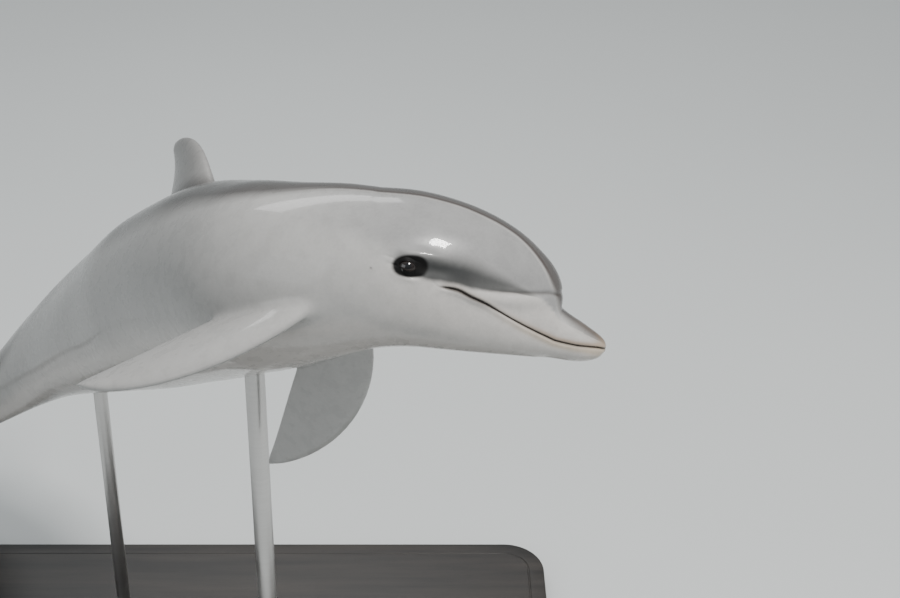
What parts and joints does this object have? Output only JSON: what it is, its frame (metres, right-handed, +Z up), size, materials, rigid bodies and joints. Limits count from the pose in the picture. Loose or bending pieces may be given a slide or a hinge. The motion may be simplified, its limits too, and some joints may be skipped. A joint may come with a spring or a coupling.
{
  "type": "bottlenose dolphin",
  "caption": "Life-size young bottlenose dolphin, curving down and away from a level head, with swept-back flippers, a falcate back fin and flukes, on a flat base with upright rods.",
  "frame": {"origin": "middle of the underside of the stand's base, on the floor", "axes": "+Z up, +X the way the head points, +Y to the side away from the animal's right flank"},
  "size_m": [1.283, 0.8747, 1.1083],
  "materials": {
    "dolphin_skin": "smooth wet grey skin, darker on the back, paler on the flank and belly",
    "eye": "glossy dark brown eye",
    "stand_base": "satin black stained board",
    "stand_steel": "brushed"
  },
  "bodies": {
    "root": {"beak_upper": "dolphin_skin", "lower_jaw": "dolphin_skin", "melon": "dolphin_skin", "head": "dolphin_skin", "chest": "dolphin_skin", "trunk": "dolphin_skin", "tail_stock_front": "dolphin_skin", "tail_stock_rear": "dolphin_skin", "dorsal_fin": "dolphin_skin", "flipper_right": "dolphin_skin", "flipper_left": "dolphin_skin", "fluke_left": "dolphin_skin", "fluke_right": "dolphin_skin", "eye_right": "eye", "eye_left": "eye", "stand_base": "stand_base", "stand_rod_front": "stand_steel", "stand_rod_rear": "stand_steel", "stand_collar_front": "stand_steel", "stand_collar_rear": "stand_steel"}
  },
  "joints": []
}
